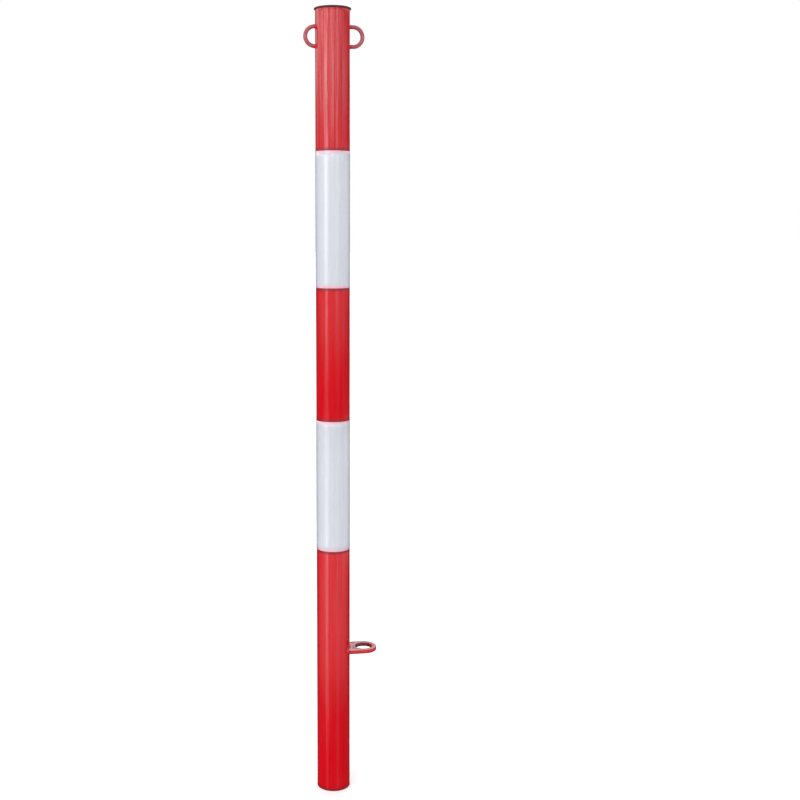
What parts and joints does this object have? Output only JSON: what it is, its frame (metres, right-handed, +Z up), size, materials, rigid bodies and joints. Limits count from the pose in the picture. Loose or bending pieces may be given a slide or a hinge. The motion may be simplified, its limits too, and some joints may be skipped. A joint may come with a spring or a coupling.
{
  "type": "barrier post",
  "caption": "Removable round steel barrier post with white bands, a plastic cap, chain eyes below the cap and a lock lug above its socket end.",
  "frame": {"origin": "centre of the tube's open foot, which goes down into the ground socket", "axes": "+Z up along the tube's axis, +X along the lock lug and the right chain eye, -X along the left chain eye"},
  "size_m": [0.1106, 0.0544, 1.1907],
  "materials": {
    "red_coat": "glossy",
    "white_sheeting": "semi-gloss",
    "cap_plastic": "satin"
  },
  "bodies": {
    "root": {"tube": "red_coat", "top_cap": "cap_plastic", "chain_eye_left": "red_coat", "chain_eye_right": "red_coat", "lock_lug": "red_coat", "white_band_upper": "white_sheeting", "white_band_lower": "white_sheeting", "weld_eye_left_upper": "red_coat", "weld_eye_left_lower": "red_coat", "weld_eye_right_upper": "red_coat", "weld_eye_right_lower": "red_coat", "weld_lug_upper": "red_coat", "weld_lug_lower": "red_coat"}
  },
  "joints": []
}
